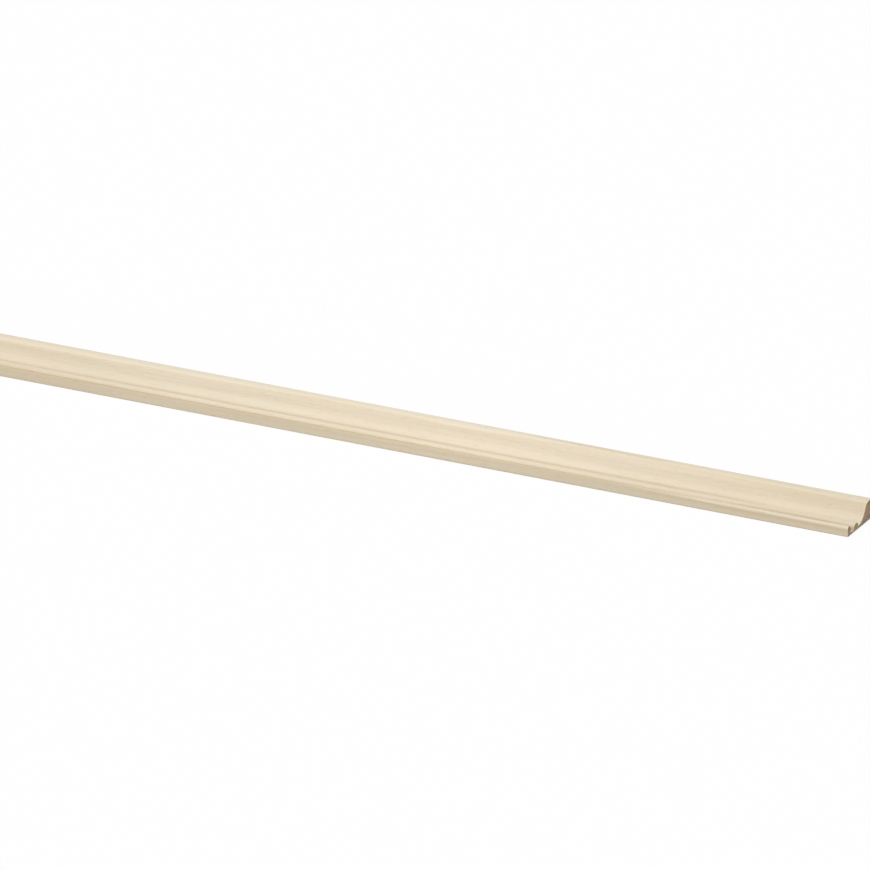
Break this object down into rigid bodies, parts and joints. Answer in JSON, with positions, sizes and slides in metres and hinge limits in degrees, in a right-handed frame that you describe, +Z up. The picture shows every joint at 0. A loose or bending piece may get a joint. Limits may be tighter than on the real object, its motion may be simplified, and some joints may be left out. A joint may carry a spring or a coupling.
{
  "type": "decorative moulding",
  "caption": "Long straight wood trim strip with a rounded nosing, a sunk quirk, a half-round bead and an ogee rising to a flat top edge, planed flat on its back for fixing to a panel or wall.",
  "frame": {"origin": "middle of the flat back, on the surface that the strip lies on", "axes": "+X along the strip, +Y across it from the low nosing to the tall rear edge, +Z up from the back"},
  "size_m": [2.4, 0.032, 0.012],
  "materials": {
    "wood": "pale bare wood, planed smooth along its length, sawn square at the ends"
  },
  "bodies": {
    "root": {"moulding": "wood"}
  },
  "joints": []
}
